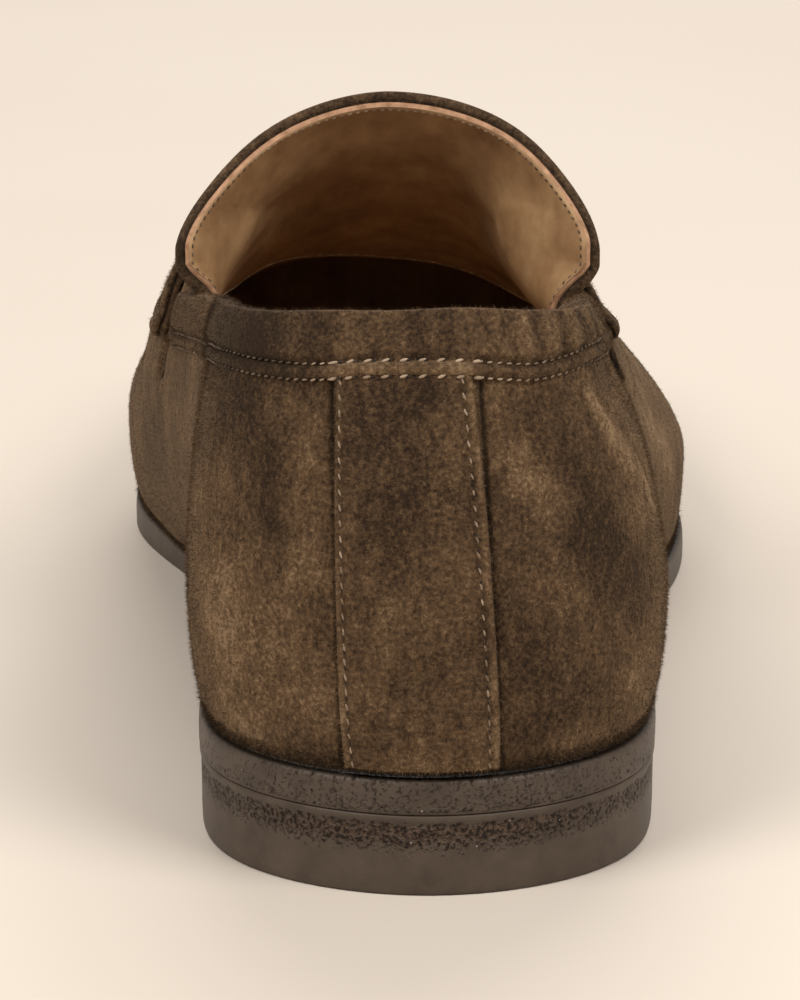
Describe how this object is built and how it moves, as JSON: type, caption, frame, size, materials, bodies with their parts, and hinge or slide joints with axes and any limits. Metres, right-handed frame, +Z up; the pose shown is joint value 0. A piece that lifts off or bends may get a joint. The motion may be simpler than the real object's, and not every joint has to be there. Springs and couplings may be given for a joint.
{
  "type": "loafer",
  "caption": "Right-foot slip-on suede loafer with a saddle strap, arched tongue, folded collar band, back strip, arched sole and low block heel.",
  "frame": {"origin": "middle of the bounding box at the floor", "axes": "+Y from heel to toe, +X to the lateral side, +Z up"},
  "size_m": [0.0998, 0.3022, 0.094],
  "materials": {
    "suede": "brushed suede nap, matte",
    "sole": "dark brown, satin edge with a rough band",
    "lining": "smooth tan lining leather"
  },
  "bodies": {
    "root": {"outsole": "sole", "heel": "sole", "insole": "lining", "upper": "suede", "collar_band": "suede", "back_strip": "suede", "saddle_strap": "suede", "tongue": "suede"}
  },
  "joints": []
}
